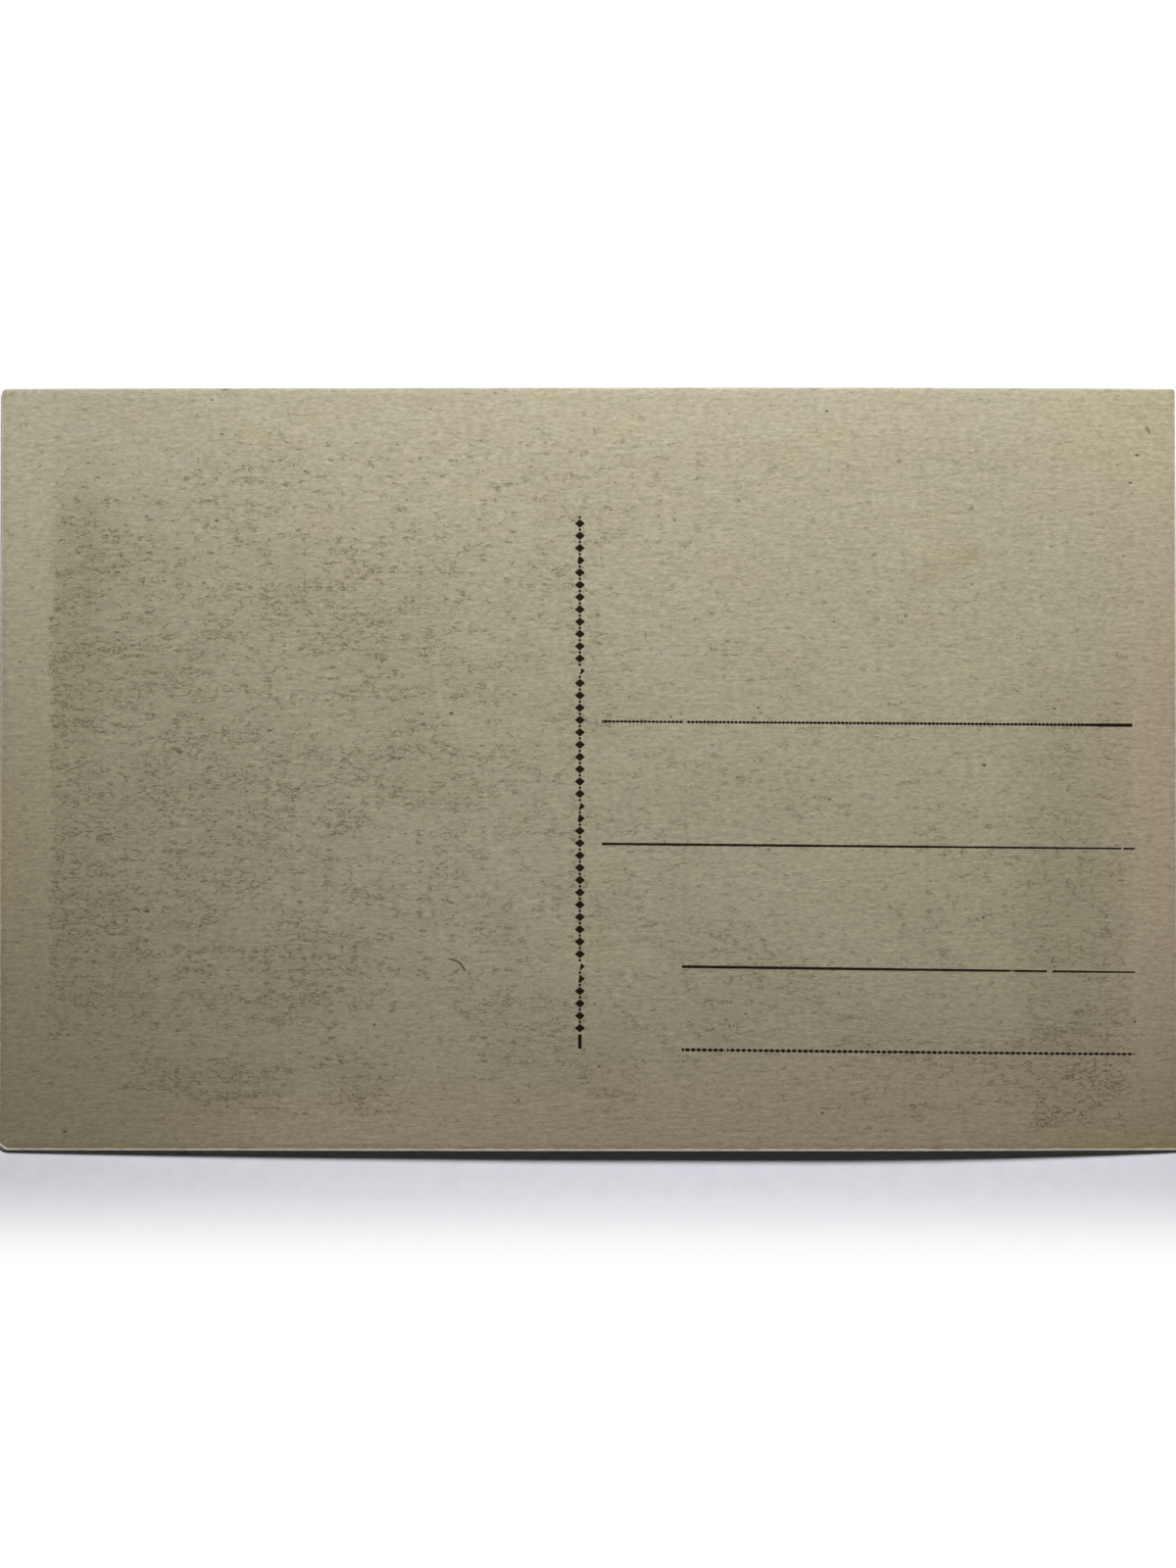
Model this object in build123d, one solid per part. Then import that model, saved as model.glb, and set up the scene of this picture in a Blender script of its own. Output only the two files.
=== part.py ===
from build123d import *
from build123d.topology import SkipClean
import math
import os

# Card outline, seen with the address side up
CARD_LENGTH = 139.0
CARD_WIDTH = 90.0
TOP_LEFT_ROUND = 0.7
TOP_RIGHT_ROUND = 0.45
BOTTOM_RIGHT_ROUND = 0.4
KNOCK_LENGTH = 0.9  # the knocked lower left corner, along the lower edge
KNOCK_WIDTH = 0.6  # and up the left edge

# Bow: the card arches along its length and lies on its two short ends
BOW_RISE = 1.0
CROWN_FROM_LEFT = 94.5
ARC_LENGTH = 7.0  # the bow is drawn in short arcs, so that thin layers stay parallel when it is faceted

# Sheets and paste of the card, and the printing on both sides
PICTURE_SHEET = 0.10
MIDDLE_SHEET = 0.12
ADDRESS_SHEET = 0.10
PASTE_FILM = 0.02
INK_FILM = 0.03
PICTURE_FILM = 0.05  # the picture's ink and varnish
INK_SEAT = 0.003  # the ink lies this far off the paper, on both sides

# Printed column that parts the message half from the address half
DIVIDER_FROM_LEFT = 68.5
DIVIDER_TOP_MARGIN = 15.0
DIVIDER_BOTTOM_MARGIN = 12.0
LOZENGE_WIDTH = 1.2
LOZENGE_HEIGHT = 1.0
LOZENGE_PITCH = 1.45
BEAD_DIAMETER = 0.32
TAIL_LENGTH = 1.7  # the short bar that ends the column
TAIL_WIDTH = 0.45

# Address rules, between the divider and the right edge
RULE_WIDTH = 0.26
RULE_RIGHT_MARGIN = 5.0
LONG_RULE_START = 2.6  # from the divider's centre line
SHORT_RULE_START = 12.0
LOWEST_RULE_RISE = 11.6  # from the lower edge to the rule's middle
SHORT_RULE_STEP = 9.7
LONG_RULE_STEP = 14.5
RULE_TILTS = (0.39, 0.53, 0.76, 0.64)  # degrees that each rule falls to the right, from the top down
DOT_PITCH = 0.465
DASH_PITCH = 0.66
MARK_GAP = 0.12  # bare paper between two dots or two dashes

# Picture on the underside
PICTURE_BORDER = 5.0

left_edge = -CARD_LENGTH / 2
right_edge = CARD_LENGTH / 2
lower_edge = -CARD_WIDTH / 2
upper_edge = CARD_WIDTH / 2
crown_x = left_edge + CROWN_FROM_LEFT
divider_x = left_edge + DIVIDER_FROM_LEFT
board = PICTURE_SHEET + PASTE_FILM + MIDDLE_SHEET + PASTE_FILM + ADDRESS_SHEET


def arc(offset, low, high):
    """Stretch of the bow between two places along the card, at a height over its underside."""
    span = CROWN_FROM_LEFT
    if low + high > 2 * crown_x:
        span = CARD_LENGTH - CROWN_FROM_LEFT
    radius = (span**2 + BOW_RISE**2) / (2 * BOW_RISE)
    reach = radius + offset
    first, last = (math.degrees(math.acos((x - crown_x) / reach)) for x in (high, low))
    return CenterArc((crown_x, BOW_RISE - radius), reach, first, last - first)


def bow(offset, start, end):
    """The bowed line, from right to left, in arcs that meet at the same places in every layer."""
    first = math.ceil((start - crown_x) / ARC_LENGTH)
    last = math.floor((end - crown_x) / ARC_LENGTH)
    joints = [crown_x + number * ARC_LENGTH for number in range(first, last + 1)]
    places = [start] + [x for x in joints if start + board < x < end - board] + [end]
    return [arc(offset, low, high) for low, high in zip(places, places[1:])][::-1]


def strip(bottom, thickness, start, end, width):
    """Bowed strip between two places along the card, at a height over its underside."""
    lower = bow(bottom, start, end)
    upper = bow(bottom + thickness, start, end)
    ends = [Line(lower[0] @ 0, upper[0] @ 0), Line(lower[-1] @ 1, upper[-1] @ 1)]
    side = Plane.XZ.offset(-width / 2) * make_face(lower + upper + ends)
    return extrude(side, width, clean=False)


def ink(start, end, width):
    """Bowed strip of ink on the address side."""
    return strip(board + INK_SEAT, INK_FILM, start, end, width)


def cut_out(slab, outline):
    """What an outline drawn on the card from above cuts out of a slab."""
    top = BOW_RISE + board + INK_SEAT + 2 * INK_FILM
    with SkipClean():
        return slab & extrude(outline, top, both=True)


def card_outline():
    """Guillotined rectangle, with three corners worn round and the lower left one knocked flat."""
    outline = make_face(
        Polyline(
            (left_edge, lower_edge + KNOCK_WIDTH),
            (left_edge + KNOCK_LENGTH, lower_edge),
            (right_edge, lower_edge),
            (right_edge, upper_edge),
            (left_edge, upper_edge),
            close=True,
        )
    )
    for x, y, radius in (
        (left_edge, upper_edge, TOP_LEFT_ROUND),
        (right_edge, upper_edge, TOP_RIGHT_ROUND),
        (right_edge, lower_edge, BOTTOM_RIGHT_ROUND),
    ):
        outline = fillet(outline.vertices().sort_by_distance((x, y))[0], radius)
    return outline


def sheet(bottom, thickness, outline):
    """One sheet or paste film, cut from a slab that is the card's thickness larger than it all round."""
    slab = strip(bottom, thickness, left_edge - board, right_edge + board, CARD_WIDTH + 2 * board)
    return cut_out(slab, outline)


def divider():
    """Upright column of lozenges with a bead between each two, and a short bar at its foot."""
    foot = lower_edge + DIVIDER_BOTTOM_MARGIN
    head = upper_edge - DIVIDER_TOP_MARGIN
    tail = ink(divider_x - TAIL_WIDTH / 2, divider_x + TAIL_WIDTH / 2, TAIL_LENGTH)
    marks = [Pos(0, foot + TAIL_LENGTH / 2, 0) * tail]
    slab = ink(divider_x - LOZENGE_WIDTH, divider_x + LOZENGE_WIDTH, LOZENGE_PITCH)
    half_width = LOZENGE_WIDTH / 2
    half_height = LOZENGE_HEIGHT / 2
    corners = (half_width, 0), (0, half_height), (-half_width, 0), (0, -half_height)
    lozenge = cut_out(slab, Pos(divider_x, 0) * make_face(Polyline(*corners, close=True)))
    bead = cut_out(slab, Pos(divider_x, 0) * Circle(BEAD_DIAMETER / 2))
    for number in range(math.floor((head - foot - TAIL_LENGTH) / LOZENGE_PITCH)):
        y = foot + TAIL_LENGTH + (number + 0.5) * LOZENGE_PITCH
        marks.append(Pos(0, y, 0) * lozenge)
        marks.append(Pos(0, y + LOZENGE_PITCH / 2, 0) * bead)
    return Compound([mark.solid() for mark in marks])


def rule(start, rise, tilt, pitch):
    """Address rule from beside the divider to the right margin, unbroken or in marks at a pitch."""
    left = divider_x + start
    right = right_edge - RULE_RIGHT_MARGIN
    marks = [ink(left, right, RULE_WIDTH)]
    if pitch:
        places = [left + number * pitch for number in range(math.floor((right - left) / pitch))]
        marks = [ink(place, place + pitch - MARK_GAP, RULE_WIDTH) for place in places]
    middle = (left + right) / 2
    row = Compound([mark.solid() for mark in marks])
    return Pos(middle, lower_edge + rise, 0) * Rot(0, 0, -tilt) * Pos(-middle, 0, 0) * row


nodes = {}

# Sheets and paste, from the underside up, all trimmed to one outline
trimmed = card_outline()
height = 0.0
for name, thickness in (
    ("picture_sheet", PICTURE_SHEET),
    ("lower_paste_film", PASTE_FILM),
    ("middle_sheet", MIDDLE_SHEET),
    ("upper_paste_film", PASTE_FILM),
    ("address_sheet", ADDRESS_SHEET),
):
    nodes[name] = sheet(height, thickness, trimmed)
    height += thickness

# Picture on the underside, inside its plain border
picture_width = CARD_WIDTH - 2 * PICTURE_BORDER
picture_left = left_edge + PICTURE_BORDER
picture_right = right_edge - PICTURE_BORDER
picture_bottom = -INK_SEAT - PICTURE_FILM
nodes["picture_print"] = strip(picture_bottom, PICTURE_FILM, picture_left, picture_right, picture_width)

# Printing on the address side: the divider, and the rules from the top down
nodes["divider"] = divider()
third_rise = LOWEST_RULE_RISE + SHORT_RULE_STEP
second_rise = third_rise + LONG_RULE_STEP
rules = (
    (LONG_RULE_START, second_rise + LONG_RULE_STEP, DOT_PITCH),
    (LONG_RULE_START, second_rise, None),
    (SHORT_RULE_START, third_rise, None),
    (SHORT_RULE_START, LOWEST_RULE_RISE, DASH_PITCH),
)
for number, ((start, rise, pitch), tilt) in enumerate(zip(rules, RULE_TILTS), 1):
    nodes[f"address_rule_{number}"] = rule(start, rise, tilt, pitch)

os.makedirs("parts", exist_ok=True)
for name, solid in nodes.items():
    export_step(solid, f"parts/{name}.step")
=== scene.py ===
import math

import bmesh
import bpy
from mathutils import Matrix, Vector, noise


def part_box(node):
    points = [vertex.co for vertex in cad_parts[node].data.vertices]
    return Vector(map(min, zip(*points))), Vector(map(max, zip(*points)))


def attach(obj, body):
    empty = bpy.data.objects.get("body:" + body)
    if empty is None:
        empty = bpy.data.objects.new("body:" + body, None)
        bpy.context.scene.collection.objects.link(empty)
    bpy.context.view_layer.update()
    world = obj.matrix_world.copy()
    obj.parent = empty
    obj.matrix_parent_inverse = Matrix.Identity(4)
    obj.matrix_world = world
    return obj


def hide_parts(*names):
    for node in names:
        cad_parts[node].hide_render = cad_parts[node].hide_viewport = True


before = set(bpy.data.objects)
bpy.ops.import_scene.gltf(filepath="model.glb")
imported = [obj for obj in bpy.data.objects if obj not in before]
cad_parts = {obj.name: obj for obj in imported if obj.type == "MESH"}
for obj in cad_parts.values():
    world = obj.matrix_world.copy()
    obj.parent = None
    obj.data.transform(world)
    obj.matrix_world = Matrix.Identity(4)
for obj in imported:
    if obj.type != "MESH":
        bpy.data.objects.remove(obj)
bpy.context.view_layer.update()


# Picture sheet: the lowest of the three leaves of the pasted card, a smooth facing paper for the picture.
# All leaves are cut in one stroke after pasting. The card has since bowed along its length and cockled,
# its corners are worn round, and the lower left one is knocked.
MM = 0.001
BOW_RISE = 1.0 * MM
CROWN_X = 25.0 * MM  # the bow is highest here, right of the middle
COCKLE_DEPTH = 0.03 * MM
COCKLE_SIZE = 19.0 * MM
LEAF_CELL = 1.0 * MM  # a leaf is modelled in cells of this size, so that it can bow and cockle
TOP_LEFT_ROUND = 0.7 * MM
TOP_RIGHT_ROUND = 0.45 * MM
BOTTOM_RIGHT_ROUND = 0.4 * MM
ROUND_STEPS = 6
PICTURE_KNOCK = (0.75 * MM, 0.5 * MM)  # what the knock took off, along the lower edge and up the left one
RIM_WEAR = 0.025 * MM  # rounding of the outer rims
RIM_STEPS = 2
SMOOTH_BELOW = math.radians(35)

PICTURE_PAPER = (0.44, 0.39, 0.28, 1)
PICTURE_PAPER_TONED = (0.37, 0.31, 0.20, 1)
CUT_FIBRE = (0.56, 0.51, 0.40, 1)  # the raw edge that the knife leaves
TONED_PATCH = (26, 20)  # length and height in millimetres, as of every mark and patch in a material
FINE_FELT_MARK = (0.5, 0.3)
FINE_FELT_DEPTH = 0.006  # in millimetres, as every depth of a material's relief

card_low, card_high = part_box("picture_sheet")
card_left, card_lower = card_low.x, card_low.y
card_right, card_upper = card_high.x, card_high.y
card_length = card_right - card_left
card_width = card_upper - card_lower


def bow_height(place):
    """Height of the card's underside over the table, at a place along its length."""
    reach = CROWN_X - card_left if place < CROWN_X else card_right - CROWN_X
    radius = (reach**2 + BOW_RISE**2) / (2 * BOW_RISE)
    return BOW_RISE - radius + math.sqrt(radius**2 - (place - CROWN_X) ** 2)


def bend_to_card(shape):
    """Lifts a flat shape on to the bowed and cockled card."""
    for vert in shape.verts:
        rise = bow_height(min(max(vert.co.x, card_left), card_right))
        cockle = noise.noise(Vector((vert.co.x, vert.co.y, 0)) / COCKLE_SIZE)
        vert.co.z += rise + COCKLE_DEPTH * cockle * rise / BOW_RISE


def give_body(shape, bottom, top):
    """Thickens a flat shape and puts its two faces at these heights over the card's underside."""
    bmesh.ops.solidify(shape, geom=shape.faces[:], thickness=top - bottom)
    lowest = min(vert.co.z for vert in shape.verts)
    bmesh.ops.translate(shape, verts=shape.verts[:], vec=(0, 0, bottom - lowest))
    bmesh.ops.recalc_face_normals(shape, faces=shape.faces[:])


def flat_sheet(length, width):
    """A flat sheet about the middle of the card, in cells that can follow its bow."""
    sheet = bmesh.new()
    columns = round(length / LEAF_CELL)
    lines = round(width / LEAF_CELL)
    bmesh.ops.create_grid(sheet, x_segments=columns, y_segments=lines, size=0.5)
    bmesh.ops.scale(sheet, verts=sheet.verts[:], vec=(length, width, 1))
    return sheet


def card_leaf(node, knock):
    """A leaf of the card, flat, cut and worn at its corners, and as thick as its CAD node."""
    leaf = flat_sheet(card_length, card_width)
    for corner_x, corner_y, radius in (
        (card_left, card_upper, TOP_LEFT_ROUND),
        (card_right, card_upper, TOP_RIGHT_ROUND),
        (card_right, card_lower, BOTTOM_RIGHT_ROUND),
    ):
        corner = min(leaf.verts, key=lambda vert: (vert.co - Vector((corner_x, corner_y, 0))).length)
        bmesh.ops.bevel(
            leaf,
            geom=[corner],
            offset=radius,
            affect="VERTICES",
            segments=ROUND_STEPS,
            profile=0.5,
            material=-1,
        )
    bmesh.ops.bisect_plane(
        leaf,
        geom=leaf.verts[:] + leaf.edges[:] + leaf.faces[:],
        plane_co=(card_left + knock[0], card_lower, 0),
        plane_no=(-knock[1], -knock[0], 0),
        clear_outer=True,
    )
    low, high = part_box(node)
    give_body(leaf, low.z, high.z - BOW_RISE)
    return leaf


def wear_rim(leaf, upward):
    """Rounds the rim of a flat leaf's outer face: the upper one for an upward of 1, the lower one for -1."""
    rim = [
        edge
        for edge in leaf.edges
        if sorted(round(face.normal.z * upward) for face in edge.link_faces) == [0, 1]
    ]
    bmesh.ops.bevel(
        leaf,
        geom=rim,
        offset=RIM_WEAR,
        affect="EDGES",
        segments=RIM_STEPS,
        profile=0.5,
        material=-1,
    )


def lay_piece(name, shape, material, node):
    """Makes a shape a piece of the card, in the place of its CAD node."""
    bend_to_card(shape)
    mesh = bpy.data.meshes.new(name)
    shape.to_mesh(mesh)
    shape.free()
    mesh.shade_smooth()
    mesh.set_sharp_from_angle(angle=SMOOTH_BELOW)
    mesh.materials.append(material)
    piece = bpy.data.objects.new(name, mesh)
    bpy.context.scene.collection.objects.link(piece)
    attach(piece, "root")
    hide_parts(node)


class Shade:
    """An output of a material's nodes. Arithmetic on values adds Math nodes."""

    def __init__(self, tree, socket=None):
        self.tree = tree
        self.socket = socket

    def feed(self, node, inputs):
        """Gives a node's sockets their values or links."""
        for name, value in inputs.items():
            if isinstance(value, Shade):
                self.tree.links.new(value.socket, node.inputs[name])
            else:
                node.inputs[name].default_value = value

    def node(self, kind, settings, inputs, output=0):
        """Adds a node of a kind, with its settings first and then its inputs."""
        node = self.tree.nodes.new("ShaderNode" + kind)
        for name, setting in settings.items():
            setattr(node, name, setting)
        self.feed(node, inputs)
        return Shade(self.tree, node.outputs[output])

    def math(self, operation, first, second=0.0):
        return self.node("Math", {"operation": operation}, {0: first, 1: second})

    def __add__(self, other):
        return self.math("ADD", self, other)

    def __sub__(self, other):
        return self.math("SUBTRACT", self, other)

    def __rsub__(self, other):
        return self.math("SUBTRACT", other, self)

    def __mul__(self, other):
        return self.math("MULTIPLY", self, other)

    def __truediv__(self, other):
        return self.math("DIVIDE", self, other)

    __radd__ = __add__
    __rmul__ = __mul__

    def __abs__(self):
        return self.math("ABSOLUTE", self)

    def least(self, other):
        return self.math("MINIMUM", self, other)

    def most(self, other):
        return self.math("MAXIMUM", self, other)

    def step(self, low, high):
        """0 below low and 1 above high, smooth between; the other way round where low is the higher."""
        settings = {"interpolation_type": "SMOOTHSTEP"}
        if low < high:
            return self.node("MapRange", settings, {"Value": self, "From Min": low, "From Max": high})
        return 1 - self.node("MapRange", settings, {"Value": self, "From Min": high, "From Max": low})

    def span(self, none, full):
        """One value where this mask is 0, the other where it is 1."""
        return self * (full - none) + none

    def blend(self, colour, other):
        """One colour where this mask is 0, the other where it is 1, by the Mix node's colour sockets."""
        return self.node("Mix", {"data_type": "RGBA"}, {0: self, 6: colour, 7: other}, 2)

    def times(self, colour):
        """A colour made lighter or darker by this value."""
        return self.node("VectorMath", {"operation": "SCALE"}, {0: colour, "Scale": self})

    def axis(self, name):
        """One axis of this vector."""
        return self.node("SeparateXYZ", {}, {0: self}, name)

    def place(self, axis):
        """How far along an axis of the card a point is from its middle, in millimetres."""
        return self.node("TexCoord", {}, {}, "Object").axis(axis) / MM

    def cells(self, size, turn=0.0, middle=(0.0, 0.0)):
        """Place on the card from a middle, in cells of a size in millimetres, turned by some degrees."""
        return self.node(
            "Mapping",
            {"vector_type": "TEXTURE"},
            {
                "Vector": self.node("TexCoord", {}, {}, "Object"),
                "Location": (middle[0] * MM, middle[1] * MM, 0),
                "Rotation": (0, 0, math.radians(turn)),
                "Scale": (size[0] * MM, size[1] * MM, 1),
            },
        )

    def clouds(self, size, turn=0.0, shift=0.0, detail=2.0, roughness=0.5):
        """Cloudy noise about 0.5 in such cells. A shift in millimetres keeps it unlike the others."""
        inputs = {
            "Vector": self.cells(size, turn, (shift, shift)),
            "Scale": 1.0,
            "Detail": detail,
            "Roughness": roughness,
        }
        return self.node("TexNoise", {"noise_dimensions": "2D"}, inputs, "Fac")

    def cut_side(self):
        """1 on the sides that the knife made, 0 on the two faces, and between them on a rounded rim."""
        return abs(self.node("NewGeometry", {}, {}, "True Normal").axis("Z")).step(0.75, 0.55)

    def raised(self, height, depth):
        """Normal of a surface whose height, from 0 to 1, spans this depth in millimetres."""
        return self.node("Bump", {}, {"Strength": 1.0, "Distance": depth * MM, "Height": height})


def start_finish(name):
    """A new material, its nodes to work with and its shader."""
    material = bpy.data.materials.new(name)
    material.use_nodes = True
    return material, Shade(material.node_tree), material.node_tree.nodes["Principled BSDF"]


picture_paper, finish, shader = start_finish("picture_paper")
toned = finish.clouds(TONED_PATCH, detail=3).step(0.35, 0.7)
felt = finish.clouds(FINE_FELT_MARK, detail=3, roughness=0.6)
tone = felt.span(0.72, 1.22).times(toned.blend(PICTURE_PAPER, PICTURE_PAPER_TONED))
finish.feed(
    shader,
    {
        "Base Color": finish.cut_side().blend(tone, CUT_FIBRE),
        "Roughness": felt.span(0.7, 0.9),
        "Specular IOR Level": 0.3,
        "Normal": finish.raised(felt, FINE_FELT_DEPTH),
    },
)
picture_leaf = card_leaf("picture_sheet", PICTURE_KNOCK)
wear_rim(picture_leaf, -1)
lay_piece("picture_leaf", picture_leaf, picture_paper, "picture_sheet")


# Paste films: starch paste, brushed on and pressed thin between the leaves.
# They show only as a line in the cut edge.
PASTE_KNOCK = (0.7 * MM, 0.45 * MM)
PASTE = (0.46, 0.39, 0.25, 1)
PASTE_DARK = (0.34, 0.27, 0.15, 1)
BRUSH_MARK = (9, 0.8)
BRUSH_TURN = 8
BRUSH_DEPTH = 0.004

paste, finish, shader = start_finish("paste")
brushing = finish.clouds(BRUSH_MARK, turn=BRUSH_TURN, detail=3)
finish.feed(
    shader,
    {
        "Base Color": brushing.step(0.35, 0.65).blend(PASTE, PASTE_DARK),
        "Roughness": brushing.span(0.5, 0.8),
        "Normal": finish.raised(brushing, BRUSH_DEPTH),
    },
)
for name, node in (("lower_paste", "lower_paste_film"), ("upper_paste", "upper_paste_film")):
    lay_piece(name, card_leaf(node, PASTE_KNOCK), paste, node)


# Middle sheet: pulp core of the card, softer and paler than the facing papers, as little light reached it.
# It shows in the cut edge, and where the knocked corner has lost its facing paper.
MIDDLE_KNOCK = (0.55 * MM, 0.36 * MM)
PULP = (0.62, 0.58, 0.48, 1)
PULP_GREY = (0.47, 0.43, 0.34, 1)
PULP_CLUMP = 0.12 * MM
PULP_DEPTH = 0.02

pulp_core, finish, shader = start_finish("pulp_core")
where = finish.node("TexCoord", {}, {}, "Object")
pulp = finish.node("TexNoise", {}, {"Vector": where, "Scale": 1 / PULP_CLUMP, "Detail": 2.0}, "Fac")
finish.feed(
    shader,
    {
        "Base Color": pulp.step(0.35, 0.65).blend(PULP_GREY, PULP),
        "Roughness": pulp.span(0.8, 0.95),
        "Specular IOR Level": 0.2,
        "Normal": finish.raised(pulp, PULP_DEPTH),
    },
)
lay_piece("middle_leaf", card_leaf("middle_sheet", MIDDLE_KNOCK), pulp_core, "middle_sheet")


# Address sheet: facing paper of the side that is written on, a rough cheap stock that has toned with age.
# Ink of the card that lay on it in the pile has set off in broken, wormlike specks, all but at the margins.
# It is darker towards its lower corners and its lower edge, and smudged and stained. Its rim is rubbed pale,
# and its knocked corner is frayed, with its bare fibre painted near white, partly as a painted highlight.
ADDRESS_KNOCK = (0.95 * MM, 0.62 * MM)

ADDRESS_PAPER = (0.343, 0.312, 0.220, 1)
YELLOWED = (0.350, 0.318, 0.175, 1)
BROWNED = (0.318, 0.270, 0.178, 1)
BLEACHED = (0.362, 0.336, 0.254, 1)
SET_OFF_HAZE = (0.286, 0.260, 0.176, 1)
SET_OFF_INK = (0.080, 0.060, 0.018, 1)
MARGIN_PALE = (0.376, 0.342, 0.243, 1)
MARGIN_OLIVE = (0.332, 0.293, 0.192, 1)
MARGIN_PINK = (0.340, 0.272, 0.194, 1)
MARGIN_BROWN = (0.332, 0.269, 0.188, 1)
MARGIN_WARM = (0.372, 0.318, 0.204, 1)
MARGIN_RUST = (0.330, 0.245, 0.140, 1)
# darker tone laid towards the lower left corner, and over the set-off bands and the smudges
LOWER_LEFT_DARK = (0.255, 0.222, 0.138, 1)
# darker, browner tone laid towards the lower right corner and towards the lower edge
LOWER_RIGHT_DARK = (0.252, 0.203, 0.139, 1)
RIM_OLIVE = (0.262, 0.224, 0.118, 1)
STAINED = (0.285, 0.256, 0.160, 1)
FLECK = (0.090, 0.072, 0.035, 1)
RUBBED_RIM = (0.78, 0.71, 0.60, 1)
# near-white bare fibre at the knocked corner: partly real pale fibre, partly a painted highlight
FRAYED_FIBRE_AND_HIGHLIGHT = (0.90, 0.86, 0.78, 1)

FELT_MARK = (0.85, 0.42)
LONG_FELT_MARK = (4.0, 0.45)
RAISED_FIBRE = (2.2, 0.25)
SUNKEN_FIBRE = (1.7, 0.22)
GRAIN_DEPTH = 0.06

SET_OFF_LEFT = (-63.4, -61.8)  # where set-off starts and where it is full, from each side, in millimetres
SET_OFF_RIGHT = (65.8, 63.8)
SET_OFF_LOWER = (-40.5, -34.0)
SET_OFF_UPPER = (43.5, 38.0)
SIDE_WAVER = 1.6  # how far its outline wavers, to the sides and up, and how far its lower end drifts
END_WAVER = 3.0
LOWER_DRIFT = 14.0
WAVER_PATCH = (3.0, 3.0)
DRIFT_PATCH = (17, 11)
LEFT_BAND = (-55.4, -58.4)  # dense bands at its two ends, each from its inner side to where it is full
RIGHT_BAND = (48.4, 55.4)
STREAK = (7, 1.1)
STREAKS_AT = -39.5  # they lie about this line, up to a reach from it
STREAKS_REACH = 4
STREAKS_LEFT = (-63.4, -54.4)
STREAKS_RIGHT = (3, 9)  # from the right edge
WORM = (1.5, 0.7)
CLUMP = (1.7, 1.0)
SET_OFF_ROW = (7.5, 1.8)

SMUDGE_MIDDLE = (57.9, -38.4)
SMUDGE_HALF = (5.9, 4.0)  # half its length and height, as of every spot
SMUDGE_RIM = (0.5, -1.1)  # distance past its outline, where it starts and where it is full
SMUDGE_WAVER = 2.5
SMALL_SMUDGE_MIDDLE = (39.0, -40.4)
SMALL_SMUDGE_HALF = (2.3, 2.0)
SMALL_SMUDGE_RIM = (1.1, 0.5)  # distance from its middle, which is 1 at its outline, as of every oval spot
SMALL_SMUDGE_WAVER = 0.8
STAIN_MIDDLE = (44.8, 24.9)
STAIN_HALF = (2.6, 1.7)
STAIN_TURN = 25
STAIN_WAVER = 0.6
STAIN_TAIL_MIDDLE = (40.4, 22.8)
STAIN_TAIL_HALF = (7.0, 2.2)
STAIN_TAIL_TURN = 27
STAIN_TAIL_WAVER = 1.0
STAIN_RIM = (1.0, 0.2)

TONING_PATCH = (34, 24)
YELLOW_PATCH = (14, 9)
BROWN_PATCH = (11, 8)
BLEACHED_PATCH = (8, 3.2)

FLECK_CELL = (9.0, 6.5)  # at most one fleck lies in each cell of this size
FLECK_GROWTH = 0.075  # how large the largest get, as a share of a cell, as the next two
FLECK_RAGGED = 0.05
FLECK_RIM = (0.004, -0.008)
SPECK_CELL = (3.6, 1.5)
SPECK_GROWTH = 0.24
SPECK_RAGGED = 0.18
SPECK_RIM = (0.012, -0.018)
ONE_MM = (1, 1)
HAIR_MIDDLE = (-16.3, -24.3)  # a hair pressed into the paper lies on a circle round this place
HAIR_RADIUS = 1.78
HAIR_HALF_WIDTH = 0.25
HAIR_TURN = 54  # direction of its middle from there
HAIR_ENDS = (1.36, 1.50)  # it fades out between these distances in that direction
UPPER_FIBRE_MIDDLE = (66.25, 40.05)
UPPER_FIBRE_HALF = (0.70, 0.23)
UPPER_FIBRE_TURN = -60
LOWER_FIBRE_MIDDLE = (54.7, -22.6)
LOWER_FIBRE_HALF = (0.62, 0.15)
LOWER_FIBRE_TURN = 69

RUBBED_PATCH = (1.8, 1.8)
RUB_WAVER = 0.3
LOWER_RUB = (0.48, 0.28)  # from the lower edge, where rubbing starts and where it is full
RUB = (0.40, 0.25)  # the same from all four edges, where it is fainter
# reach of the pale bare fibre and painted highlight beside the knock
FRAY_AND_HIGHLIGHT = (1.15, 0.95)  # beside the knock, in square millimetres

# Places are in millimetres: x and y from the middle of the card, the others from the edge that they name
address_paper, finish, shader = start_finish("address_paper")
x = finish.place("X")
y = finish.place("Y")
from_left = x - card_left / MM
from_right = card_right / MM - x
from_lower = y - card_lower / MM
from_upper = card_upper / MM - y
to_edge = from_left.least(from_right).least(from_lower).least(from_upper)


def near(value, level, reach):
    """1 where a value passes a level, fading to 0 where it is off it by this reach."""
    return abs(value - level).step(reach, 0.0)


def area(left=None, right=None, lower=None, upper=None):
    """1 on an area of the address sheet. Each side says where the area starts and where it is full."""
    sides = ((x, left), (x, right), (y, lower), (y, upper))
    return math.prod(place.step(*side) for place, side in sides if side)


def from_spot(middle, half_size, turn=0):
    """Distance from the middle of an oval spot on the address sheet, which is 1 at its rim."""
    place = finish.cells(half_size, turn, middle)
    return finish.node("VectorMath", {"operation": "LENGTH"}, {0: place}, "Value")


def strewn(cell, shift, bare, growth):
    """Distance past the rim of specks that lie one to a cell, with a share of the cells bare."""
    field = {"Vector": finish.cells(cell, 0, (shift, shift)), "Scale": 1.0, "Randomness": 1.0}
    middle = finish.node("TexVoronoi", {"voronoi_dimensions": "2D"}, field, "Distance")
    chance = finish.node("TexVoronoi", {"voronoi_dimensions": "2D"}, field, "Color").axis("X")
    return middle - (chance - bare) * growth


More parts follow.
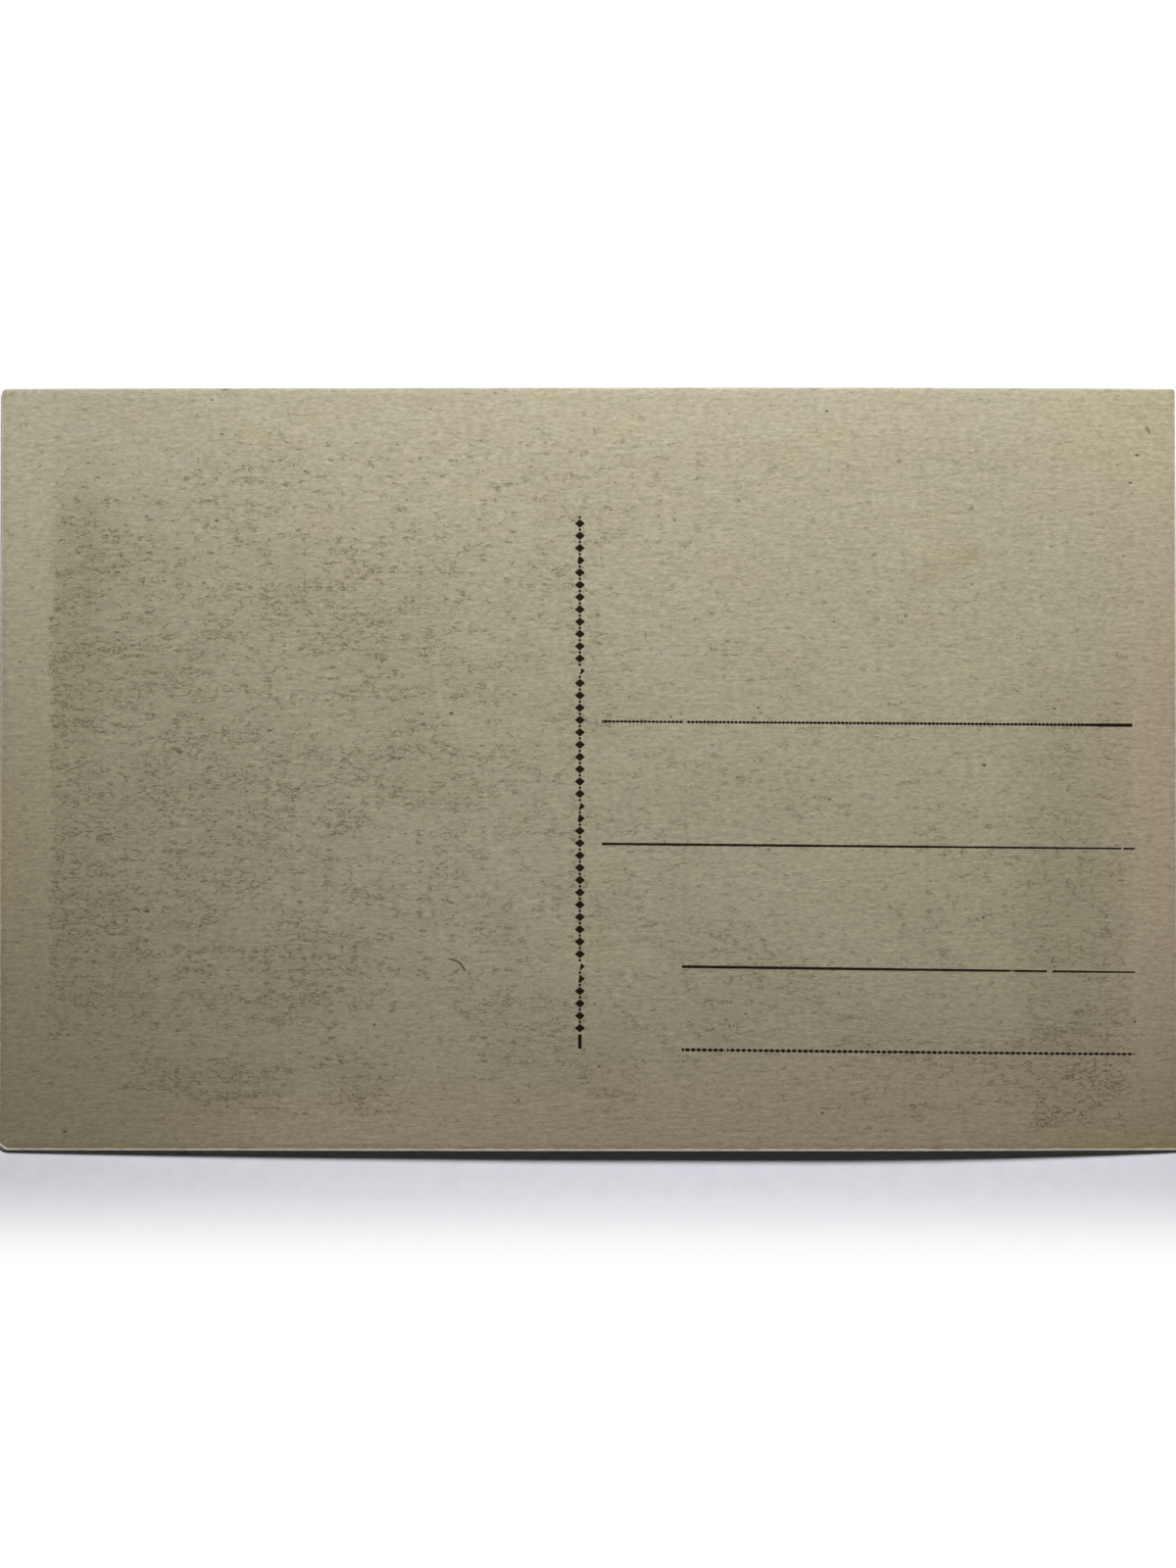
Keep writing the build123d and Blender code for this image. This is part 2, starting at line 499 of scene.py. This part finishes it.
# Grain: marks of the papermaker's felt, and fibres that stand out or lie deeper
felt = finish.clouds(FELT_MARK, turn=6, detail=2.5, roughness=0.6)
rising_felt = finish.clouds(LONG_FELT_MARK, turn=4, shift=40, detail=3, roughness=0.6)
falling_felt = finish.clouds(LONG_FELT_MARK, turn=-5, shift=65, detail=3, roughness=0.6)
raised_fibres = near(finish.clouds(RAISED_FIBRE, turn=4, shift=11, detail=1), 0.5, 0.06)
sunken_fibres = near(finish.clouds(SUNKEN_FIBRE, turn=-28, shift=23, detail=1), 0.5, 0.05)
grain = felt * 0.56 + (rising_felt + falling_felt) * 0.24 + (raised_fibres - sunken_fibres) * 0.10

# Area of the set-off, with its dense bands
waver = finish.clouds(WAVER_PATCH, shift=5)
drift = finish.clouds(DRIFT_PATCH, shift=3, detail=4, roughness=0.6)
across = x + waver * SIDE_WAVER
along = y + waver * END_WAVER
inside = across.step(*SET_OFF_LEFT) * across.step(*SET_OFF_RIGHT)
inside = inside * (along + (drift - 0.5) * LOWER_DRIFT).step(*SET_OFF_LOWER) * along.step(*SET_OFF_UPPER)
left_band = across.step(*LEFT_BAND) * area(lower=(-36, -28), upper=(42, 22))
right_band = across.step(*RIGHT_BAND) * area(upper=(18, -2))
bands = inside * left_band.most(right_band)

# Smudges of ink at the lower edge, a large squarish one and a small round one
beside_smudge = abs(x - SMUDGE_MIDDLE[0]) - SMUDGE_HALF[0]
over_smudge = abs(y - SMUDGE_MIDDLE[1]) - SMUDGE_HALF[1]
smudge = (beside_smudge.most(over_smudge) + (waver - 0.5) * SMUDGE_WAVER).step(*SMUDGE_RIM)
small_smudge = from_spot(SMALL_SMUDGE_MIDDLE, SMALL_SMUDGE_HALF) + (waver - 0.5) * SMALL_SMUDGE_WAVER
smudge = smudge.most(small_smudge.step(*SMALL_SMUDGE_RIM) * 0.8)

# How densely the ink took: most to the lower left, least to the upper right and in a strip at the lower left
pressed = area(upper=(40, 12)) * area(right=(0, -50)).span(0.18, 0.53)
sheltered = (x * 0.5 + y).step(-15, 45)
bare_strip = near(y, level=-32.5, reach=5) * area(right=(-15, -40))
density = (drift.step(0.35, 0.7) * 0.5 + pressed) * sheltered.span(1.0, 0.25) * bare_strip.span(1.0, 0.3)
density = inside * density + bands * 0.25 + smudge * area(upper=(-37, -41)).span(0.5, 1.0)
streaks = finish.clouds(STREAK, shift=77, detail=3).step(0.5, 0.68) * near(y, STREAKS_AT, STREAKS_REACH)
density = density + streaks * across.step(*STREAKS_LEFT) * from_right.step(*STREAKS_RIGHT) * 0.75

# Set-off itself: wormlike specks in loose rows, clumped where the ink took, and some more above the middle
worms = near(finish.clouds(WORM, shift=7, detail=3, roughness=0.6), 0.5, 0.05)
clumps = finish.clouds(CLUMP, shift=19, detail=3, roughness=0.6)
rows = finish.clouds(SET_OFF_ROW, shift=44, detail=3, roughness=0.6).step(0.42, 0.62)
scattered = inside * area(left=(-58, -36), right=(34, 4), lower=(8, 20)) * 0.26
set_off = worms * (clumps + (density + scattered) * rows.span(0.12, 0.42)).step(0.60, 0.74)
set_off = set_off * (area(right=(10, -40)) * 0.10 + smudge * 0.2 + 0.64)

# Toning of the paper by light and age, in patches and along the margins
toning = finish.clouds(TONING_PATCH, shift=60, detail=3)
yellow = finish.clouds(YELLOW_PATCH, shift=90, detail=3).step(0.56, 0.76) * 0.3
yellow = yellow + area(left=(10, 55), upper=(25, -5)) * 0.28
brown = finish.clouds(BROWN_PATCH, shift=51, detail=3).step(0.52, 0.70) * inside * area(upper=(34, 8)) * 0.35
bleached = finish.clouds(BLEACHED_PATCH, shift=29, detail=4, roughness=0.6).step(0.48, 0.70)
bleached = bleached * area(lower=(-30, 20)) * 0.5
haze = inside * area(right=(15, -15), lower=(24, 36)).span(0.30, 0.05) + density * 0.8
upper_left = from_left.step(11, 1) * area(lower=(5, 38)) * 0.8
left_margin = from_left.step(9, 4) * area(upper=(30, -10)) * 0.6
lower_margin = (from_lower + toning * 6 - area(left=(0, 55)) * 5).step(12, 5) * area(left=(-60, -15))
lower_margin = lower_margin * smudge.span(0.85, 0.25)
right_margin = (from_right + toning * 8).step(15, 6) * area(upper=(42, 2)).span(0.22, 0.88)
upper_right = area(left=(46, 64), lower=(22, 40)) * 0.5
rusty = from_left.step(2.6, 0.4) * near(y, level=-9, reach=11) * 0.45

# Darker towards both lower corners and the lower edge, an olive strip along the lower edge beside the right
# corner, and a stain with a tail
# Darker towards the lower left corner, and over the set-off bands and the smudges
darker_lower_left_and_inked = (x * 1.1 + y).step(-36, -116).most(bands * 0.36).most(smudge * 0.6)
# Darker towards the lower right corner, and towards the lower edge from left of the middle rightwards, less
# over the smudges
darker_lower_right_and_edge = ((x - y).step(84, 116) * 0.8).most(from_lower.step(26, 5) * area(left=(-35, 5)) * 0.42)
darker_lower_right_and_edge = darker_lower_right_and_edge * smudge.span(1.0, 0.6)
lower_right = from_lower.step(4.2, 2.0) * area(left=(40, 60)) * 0.5
stain = from_spot(STAIN_MIDDLE, STAIN_HALF, STAIN_TURN) + (drift - 0.5) * STAIN_WAVER
stain_tail = from_spot(STAIN_TAIL_MIDDLE, STAIN_TAIL_HALF, STAIN_TAIL_TURN) + (drift - 0.5) * STAIN_TAIL_WAVER
stain = stain.step(*STAIN_RIM).most(stain_tail.step(*STAIN_RIM) * 0.6)

# Flecks in the stock, specks of ink between the worms, a hair and two dark fibres
flecks = strewn(FLECK_CELL, shift=2, bare=0.6, growth=FLECK_GROWTH) + (clumps - 0.5) * FLECK_RAGGED
flecks = flecks.step(*FLECK_RIM) * 0.85
specks = strewn(SPECK_CELL, shift=13, bare=0.5, growth=SPECK_GROWTH) + (clumps - 0.5) * SPECK_RAGGED
specks = specks.step(*SPECK_RIM) * inside * area(right=(25, -25)).span(0.24, 0.54)
hair = near(from_spot(HAIR_MIDDLE, ONE_MM), HAIR_RADIUS, HAIR_HALF_WIDTH)
hair = hair * finish.cells(ONE_MM, HAIR_TURN, HAIR_MIDDLE).axis("X").step(*HAIR_ENDS)
upper_fibre = from_spot(UPPER_FIBRE_MIDDLE, UPPER_FIBRE_HALF, UPPER_FIBRE_TURN).step(1.1, 0.6) * 0.66
lower_fibre = from_spot(LOWER_FIBRE_MIDDLE, LOWER_FIBRE_HALF, LOWER_FIBRE_TURN).step(1.1, 0.7) * 0.6
dark = flecks.most(specks).most(hair).most(upper_fibre).most(lower_fibre)

# Rim rubbed pale, most of all along the lower edge, and bare fibre beside the knock, painted near white,
# partly as a painted highlight
rubbing = finish.clouds(RUBBED_PATCH, shift=31, detail=3) * RUB_WAVER
rubbed = ((from_lower + rubbing).step(*LOWER_RUB) * 0.85).most((to_edge + rubbing).step(*RUB) * 0.3)
# Bare fibre beside the knock, painted near white: partly real pale fibre, partly a painted highlight
beside_knock = from_left * (ADDRESS_KNOCK[1] / MM) + from_lower * (ADDRESS_KNOCK[0] / MM)
frayed_and_highlight = (beside_knock + rubbing).step(*FRAY_AND_HIGHLIGHT)

# Colour: each mask lays its colour over what is there, and the grain and the rim come last
tone = ADDRESS_PAPER
for mask, colour in (
    (yellow, YELLOWED),
    (brown, BROWNED),
    (bleached, BLEACHED),
    (haze, SET_OFF_HAZE),
    (upper_left, MARGIN_PALE),
    (left_margin, MARGIN_OLIVE),
    (darker_lower_left_and_inked, LOWER_LEFT_DARK),
    (lower_margin, MARGIN_PINK),
    (right_margin, MARGIN_BROWN),
    (upper_right, MARGIN_WARM),
    (rusty, MARGIN_RUST),
    (darker_lower_right_and_edge, LOWER_RIGHT_DARK),
    (lower_right, RIM_OLIVE),
    (stain, STAINED),
    (set_off, SET_OFF_INK),
    (dark, FLECK),
):
    tone = mask.blend(tone, colour)
tone = grain.span(0.44, 1.50).times(tone)
tone = frayed_and_highlight.blend(rubbed.blend(tone, RUBBED_RIM), FRAYED_FIBRE_AND_HIGHLIGHT)
finish.feed(
    shader,
    {
        "Base Color": finish.cut_side().blend(tone, CUT_FIBRE),
        "Roughness": felt.span(0.78, 0.98),
        "Specular IOR Level": 0.25,
        "Normal": finish.raised(grain, GRAIN_DEPTH),
    },
)
address_leaf = card_leaf("address_sheet", ADDRESS_KNOCK)
wear_rim(address_leaf, 1)
lay_piece("address_leaf", address_leaf, address_paper, "address_sheet")
address_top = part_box("address_sheet")[1].z - BOW_RISE


# Picture print: one film of brown-black ink and varnish, printed on the picture sheet inside a plain border.
# The picture is a made-up lake between hills.
PRINT_BODY = 0.02 * MM
PRINT_INK = (0.035, 0.029, 0.022, 1)
PRINT_PALE = (0.40, 0.355, 0.255, 1)
SHORE = -15  # height on the picture, in millimetres from its middle
OUTLINE = (-0.12, 0.12)  # softness of an outline in the picture
CLOUD = (46, 11)
WOOD = (1.6, 2.2)
MEADOW = (5, 3)
RIPPLE = (9, 0.6)
PRINT_GRAIN = (0.16, 0.16)
PRINT_DEPTH = 0.004

picture_ink, finish, shader = start_finish("picture_ink")
print_x = finish.place("X")
print_y = finish.place("Y")


def skyline(height, swing, length, shift):
    """Height of a range of hills: its mean, its swing and the length of a hill are in millimetres."""
    hills = finish.node("CombineXYZ", {}, {0: print_x / length + shift})
    inputs = {"Vector": hills, "Scale": 1.0, "Detail": 5.0}
    rise = finish.node("TexNoise", {"noise_dimensions": "2D"}, inputs, "Fac")
    return height + (rise - 0.5) * swing


far_hills = skyline(height=12, swing=26, length=46, shift=3.1)
near_hills = skyline(height=1, swing=30, length=34, shift=9.7)
shore = skyline(height=SHORE, swing=5, length=30, shift=5.2)
bank = skyline(height=-32, swing=24, length=26, shift=1.4)
woods = finish.clouds(WOOD, detail=5, roughness=0.7)
meadows = finish.clouds(MEADOW, shift=8, detail=4)
ripples = finish.clouds(RIPPLE, detail=3)
sky = finish.clouds(CLOUD, detail=4).step(0.4, 0.7) * 0.18 + print_y.step(0, 42) * 0.2
mirrored = (near_hills + (print_y - 2 * SHORE) + (ripples - 0.5) * 9).step(-1.5, 1.5)
water = 0.02 + ripples * 0.3 + mirrored * woods.span(0.18, 0.38)
tint = sky
for top, shade in (
    (far_hills, meadows.span(0.22, 0.52)),
    (near_hills + woods * 1.5, woods.span(0.42, 0.92)),
    (shore, water),
    (bank + woods * 5, woods.span(0.70, 1.10)),
):
    cover = (top - print_y).step(*OUTLINE)
    tint = tint * (1 - cover) + shade * cover
collotype = finish.clouds(PRINT_GRAIN, detail=2)
tint = tint + (collotype - 0.5) * 0.35
finish.feed(
    shader,
    {
        "Base Color": tint.step(-0.1, 0.95).blend(PRINT_PALE, PRINT_INK),
        "Roughness": collotype.span(0.42, 0.62),
        "Normal": finish.raised(collotype, PRINT_DEPTH),
    },
)
print_low, print_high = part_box("picture_print")
print_film = flat_sheet(print_high.x - print_low.x, print_high.y - print_low.y)
give_body(print_film, -PRINT_BODY, 0.0)
lay_piece("picture_film", print_film, picture_ink, "picture_print")


# Address rules: four printed lines in black ink. The first is a row of fine dots, the last a row of dashes,
# and the two between are plain. All are worn type, so they thin out, break and have ragged sides.
INK_BODY = 0.008 * MM
RULE_STEP = 0.055 * MM
RULE_WIDTH = 0.26 * MM  # of the CAD rule, whose middle line the ink keeps to
LEAST_HALF_WIDTH = 0.01 * MM
RAGGED = 0.022 * MM
RAGGED_SIZE = 0.24 * MM
RAGGED_APART = 7  # keeps the noise of a rule's two sides apart
BLACK_INK = (0.010, 0.006, 0.003, 1)
THIN_INK = (0.032, 0.024, 0.015, 1)
STARVED_PATCH = (0.34, 0.3)
INK_DEPTH = 0.004

LONG_RULE = 63.0  # length of the upper two rules, in millimetres as all sizes of the ink that follow
SHORT_RULE = 53.5
INKING_LENGTH = 5.0  # the ink took more and less over this length, and half as much over the short one
INKING_SHORT_LENGTH = 1.7
DOT_PITCH = 0.465
DOT_NECK = 0.045  # half width of the ink between two dots, and what a dot adds to it
DOT_SWELL = 0.132
DOT_GAIN = 0.03  # what the row gains by its end
DOT_INKING = 0.016  # what a better or worse inking adds or takes
MERGED_FROM = 55.5  # from here the dots run together, over a length, to a solid line
MERGED_OVER = 4.0
MERGED_HALF_WIDTH = 0.205
BLOT_LENGTH = 1.5  # the row starts with a blot
BLOT_SWELL = 0.04
PLAIN_HALF_WIDTH = 0.150
PLAIN_LOSS = 0.052  # what a plain rule loses by its end
PLAIN_INKING = 0.02
SHORT_PLAIN_HALF_WIDTH = 0.168
SHORT_PLAIN_LOSS = 0.068
SHORT_PLAIN_INKING = 0.014
NICK_AT = 38.9
NICK_LENGTH = 0.4
NICK_DEPTH = 0.06
DASH_PITCH = 0.66
DASH_NECK = 0.035
DASH_SWELL = 0.163
DASH_INKING = 0.02
DASH_FULLNESS = 1.7  # the more, the longer the dashes are beside their gaps
DASH_FADE = 0.26  # share of the width that the row loses by its end

black_ink, finish, shader = start_finish("black_ink")
starved = finish.clouds(STARVED_PATCH, shift=17, detail=3, roughness=0.65)
finish.feed(
    shader,
    {
        "Base Color": starved.step(0.55, 0.80).blend(BLACK_INK, THIN_INK),
        "Roughness": starved.span(0.65, 0.95),
        "Specular IOR Level": 0.06,
        "Alpha": starved.step(0.88, 0.74),
        "Normal": finish.raised(starved, INK_DEPTH),
    },
)


def printed_rule(name, node, half_width, breaks):
    """A rule along its CAD node, as wide at each place as half_width says, and bare in its breaks."""
    low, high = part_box(node)
    length = high.x - low.x
    fall = high.y - low.y - RULE_WIDTH
    rule = bmesh.new()
    bmesh.ops.create_grid(rule, x_segments=round(length / RULE_STEP), y_segments=1, size=0.5)
    for vert in rule.verts:
        run = (vert.co.x + 0.5) * length
        side = math.copysign(1, vert.co.y)
        ragged = RAGGED * noise.noise(Vector((run / RAGGED_SIZE, side * RAGGED_APART, low.y / MM)))
        reach = max(half_width(run / MM) * MM + ragged, LEAST_HALF_WIDTH)
        middle = high.y - RULE_WIDTH / 2 - fall * run / length
        vert.co = (low.x + run, middle + side * reach, 0)
    worn = [
        face
        for face in rule.faces
        if any(first < (face.calc_center_median().x - low.x) / MM < last for first, last in breaks)
    ]
    bmesh.ops.delete(rule, geom=worn, context="FACES")
    give_body(rule, address_top, address_top + INK_BODY)
    lay_piece(name, rule, black_ink, node)


def inking(run, seed):
    """How the ink took along a rule, about 0."""
    drifting = noise.noise(Vector((run / INKING_LENGTH, seed, 0)))
    return drifting + 0.5 * noise.noise(Vector((run / INKING_SHORT_LENGTH, seed, 5)))


def swell(run, pitch):
    """1 in the middle of each mark of a row at a pitch, 0 between two of them."""
    return 0.5 + 0.5 * math.cos(2 * math.pi * run / pitch)


def dotted_half_width(run):
    """Fine dots on a neck of ink, heavier at the start and run together at the end."""
    dotted = DOT_NECK + DOT_SWELL * swell(run, DOT_PITCH)
    dotted += DOT_INKING * inking(run, 1) + DOT_GAIN * run / LONG_RULE
    merged = min(max((run - MERGED_FROM) / MERGED_OVER, 0), 1)
    blot = max(1 - run / BLOT_LENGTH, 0) * BLOT_SWELL
    return dotted * (1 - merged) + MERGED_HALF_WIDTH * merged + blot


def plain_half_width(run):
    """A plain line that thins out a little."""
    return PLAIN_HALF_WIDTH - PLAIN_LOSS * (run / LONG_RULE) ** 2 + PLAIN_INKING * inking(run, 2)


def short_plain_half_width(run):
    """A plain line that starts heavy and thins out past its middle, with a nick."""
    nick = NICK_DEPTH * math.exp(-(((run - NICK_AT) / NICK_LENGTH) ** 2))
    thinned = SHORT_PLAIN_HALF_WIDTH - SHORT_PLAIN_LOSS * (run / SHORT_RULE) ** 2
    return thinned - nick + SHORT_PLAIN_INKING * inking(run, 3)


def dashed_half_width(run):
    """Short dashes on a neck of ink, fading along the line."""
    dash = min(1, DASH_FULLNESS * swell(run, DASH_PITCH))
    dashed = DASH_NECK + DASH_SWELL * dash + DASH_INKING * inking(run, 4)
    return dashed * (1 - DASH_FADE * run / SHORT_RULE)


# Each rule with its half width and with its breaks, from the rule's left end, in millimetres
for number, half_width, breaks in (
    (1, dotted_half_width, [(9.6, 9.95)]),
    (2, plain_half_width, [(61.3, 61.55)]),
    (3, short_plain_half_width, [(43.0, 43.65)]),
    (4, dashed_half_width, [(5.1, 5.3), (43.2, 43.4)]),
):
    printed_rule(f"rule_{number}_ink", f"address_rule_{number}", half_width, breaks)


# Divider: an upright column of printer's lozenges and beads over a short bar, in the same black ink.
# The type is worn, so single lozenges have lost their left side.
LOZENGE_PITCH = 1.45 * MM
LOZENGE_HALF_WIDTH = 0.61 * MM
LOZENGE_HALF_HEIGHT = 0.51 * MM
LOZENGE_SIDES = 4
# Worn lozenges, counted from the foot, and how far they still reach to the left, in millimetres
WORN_LOZENGES = {4: 0.12, 5: -0.05, 17: 0.2, 18: 0.02, 29: -0.1, 38: 0.25}
WORN_LEAN = 0.2  # how much their worn side leans
BEAD_RADIUS = 0.17 * MM
BEAD_SIDES = 8
BAR_WIDTH = 0.42 * MM
BAR_LENGTH = 1.7 * MM

divider_low, divider_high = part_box("divider")
divider_x = (divider_low.x + divider_high.x) / 2
column = bmesh.new()


def print_mark(sides, half_width, half_height, height):
    """One flat ornament of the column."""
    mark = bmesh.ops.create_circle(column, cap_ends=True, segments=sides, radius=1.0)["verts"]
    bmesh.ops.scale(column, verts=mark, vec=(half_width, half_height, 1))
    bmesh.ops.translate(column, verts=mark, vec=(divider_x, height, 0))
    return mark


foot = divider_low.y + BAR_LENGTH
for number in range(math.floor((divider_high.y - foot) / LOZENGE_PITCH)):
    height = foot + (number + 0.5) * LOZENGE_PITCH
    lozenge = print_mark(LOZENGE_SIDES, LOZENGE_HALF_WIDTH, LOZENGE_HALF_HEIGHT, height)
    if number in WORN_LOZENGES:
        flat = lozenge[0].link_faces[0]
        bmesh.ops.bisect_plane(
            column,
            geom=lozenge + flat.edges[:] + [flat],
            plane_co=(divider_x - WORN_LOZENGES[number] * MM, height, 0),
            plane_no=(-1, WORN_LEAN, 0),
            clear_outer=True,
        )
    print_mark(BEAD_SIDES, BEAD_RADIUS, BEAD_RADIUS, height + LOZENGE_PITCH / 2)
bar = bmesh.ops.create_grid(column, x_segments=1, y_segments=1, size=0.5)["verts"]
bmesh.ops.scale(column, verts=bar, vec=(BAR_WIDTH, BAR_LENGTH, 1))
bmesh.ops.translate(column, verts=bar, vec=(divider_x, divider_low.y + BAR_LENGTH / 2, 0))
give_body(column, address_top, address_top + INK_BODY)
lay_piece("divider_ink", column, black_ink, "divider")


# Table: a sheet of plain pale paper under the card, which takes the card's thin shadow.
# It is lit and shaded close to the card, and plain white further away.
TABLE_SIZE = 2.0
TABLE_PAPER = (0.915, 0.915, 0.99, 1)
TABLE_SHADE = (0.88, 0.88, 0.955, 1)
TABLE_MOTTLE = (2.5, 2.5)
WHITE = (1, 1, 1, 1)
WHITE_FROM = 2.0  # millimetres from the card at which the table starts to turn white, and is white
WHITE_AT = 14.0


def seen(finish):
    """1 for what is looked at, also in a reflection, and 0 for what only lights other things."""
    kinds = ("Camera", "Glossy", "Transmission")
    direct, reflected, through = (finish.node("LightPath", {}, {}, f"Is {kind} Ray") for kind in kinds)
    return direct.most(reflected).most(through)


table_paper, finish, shader = start_finish("table_paper")
mottle = finish.clouds(TABLE_MOTTLE, detail=3)
beside_card = abs(finish.place("X")) - card_length / 2 / MM
above_card = abs(finish.place("Y")) - card_width / 2 / MM
away = beside_card.most(above_card).step(WHITE_FROM, WHITE_AT)
finish.feed(shader, {"Base Color": mottle.step(0.3, 0.7).blend(TABLE_SHADE, TABLE_PAPER), "Roughness": 0.9})
lit = Shade(finish.tree, shader.outputs["BSDF"])
white = finish.node("Emission", {}, {"Color": WHITE, "Strength": 1.0})
surface = finish.node("MixShader", {}, {0: seen(finish) * away, 1: lit, 2: white})
finish.feed(finish.tree.nodes["Material Output"], {"Surface": surface})

table_top = bmesh.new()
bmesh.ops.create_grid(table_top, x_segments=1, y_segments=1, size=TABLE_SIZE / 2)
table_mesh = bpy.data.meshes.new("table_top")
table_top.to_mesh(table_mesh)
table_top.free()
table_mesh.materials.append(table_paper)
table = bpy.data.objects.new("table_top", table_mesh)
bpy.context.scene.collection.objects.link(table)


# Light and camera: one soft lamp past the card's upper edge, so that the shadow lies along the lower one,
# and a little fill from all round. The camera looks down from almost straight above.
LAMP_PLACE = Vector((21.5, 177, 190)) * MM
LAMP_SIZE = 75 * MM
LAMP_WATTS = 0.965
FILL = 0.010
CAMERA_TARGET = Vector((-0.04, -1.86, 1.0)) * MM
CAMERA_DISTANCE = 300 * MM
CAMERA_TILT = math.radians(1.0)
PIXELS_PER_MM = 8.655
IMAGE_HEIGHT = 1600

lamp = bpy.data.lights.new("lamp", "AREA")
lamp.shape = "DISK"
lamp.size = LAMP_SIZE
lamp.energy = LAMP_WATTS
lamp_stand = bpy.data.objects.new("lamp", lamp)
lamp_stand.location = LAMP_PLACE
lamp_stand.rotation_euler = (-LAMP_PLACE).to_track_quat("-Z", "Y").to_euler()
lamp_stand.visible_camera = False
bpy.context.scene.collection.objects.link(lamp_stand)

room = bpy.data.worlds.new("room")
room.use_nodes = True
walls = Shade(room.node_tree)
lighting = walls.node("Background", {}, {"Color": WHITE, "Strength": FILL})
backdrop = walls.node("Background", {}, {"Color": WHITE, "Strength": 1.0})
around = walls.node("MixShader", {}, {0: seen(walls), 1: lighting, 2: backdrop})
walls.feed(room.node_tree.nodes["World Output"], {"Surface": around})
bpy.context.scene.world = room

camera = bpy.data.cameras.new("camera")
camera.lens = camera.sensor_width * CAMERA_DISTANCE / (IMAGE_HEIGHT / PIXELS_PER_MM * MM)
back = Vector((0, -math.sin(CAMERA_TILT), math.cos(CAMERA_TILT)))
camera_stand = bpy.data.objects.new("camera", camera)
camera_stand.location = CAMERA_TARGET + back * CAMERA_DISTANCE
camera_stand.rotation_euler = (CAMERA_TILT, 0, 0)
bpy.context.scene.collection.objects.link(camera_stand)
bpy.context.scene.camera = camera_stand
bpy.context.scene.view_settings.view_transform = "Standard"
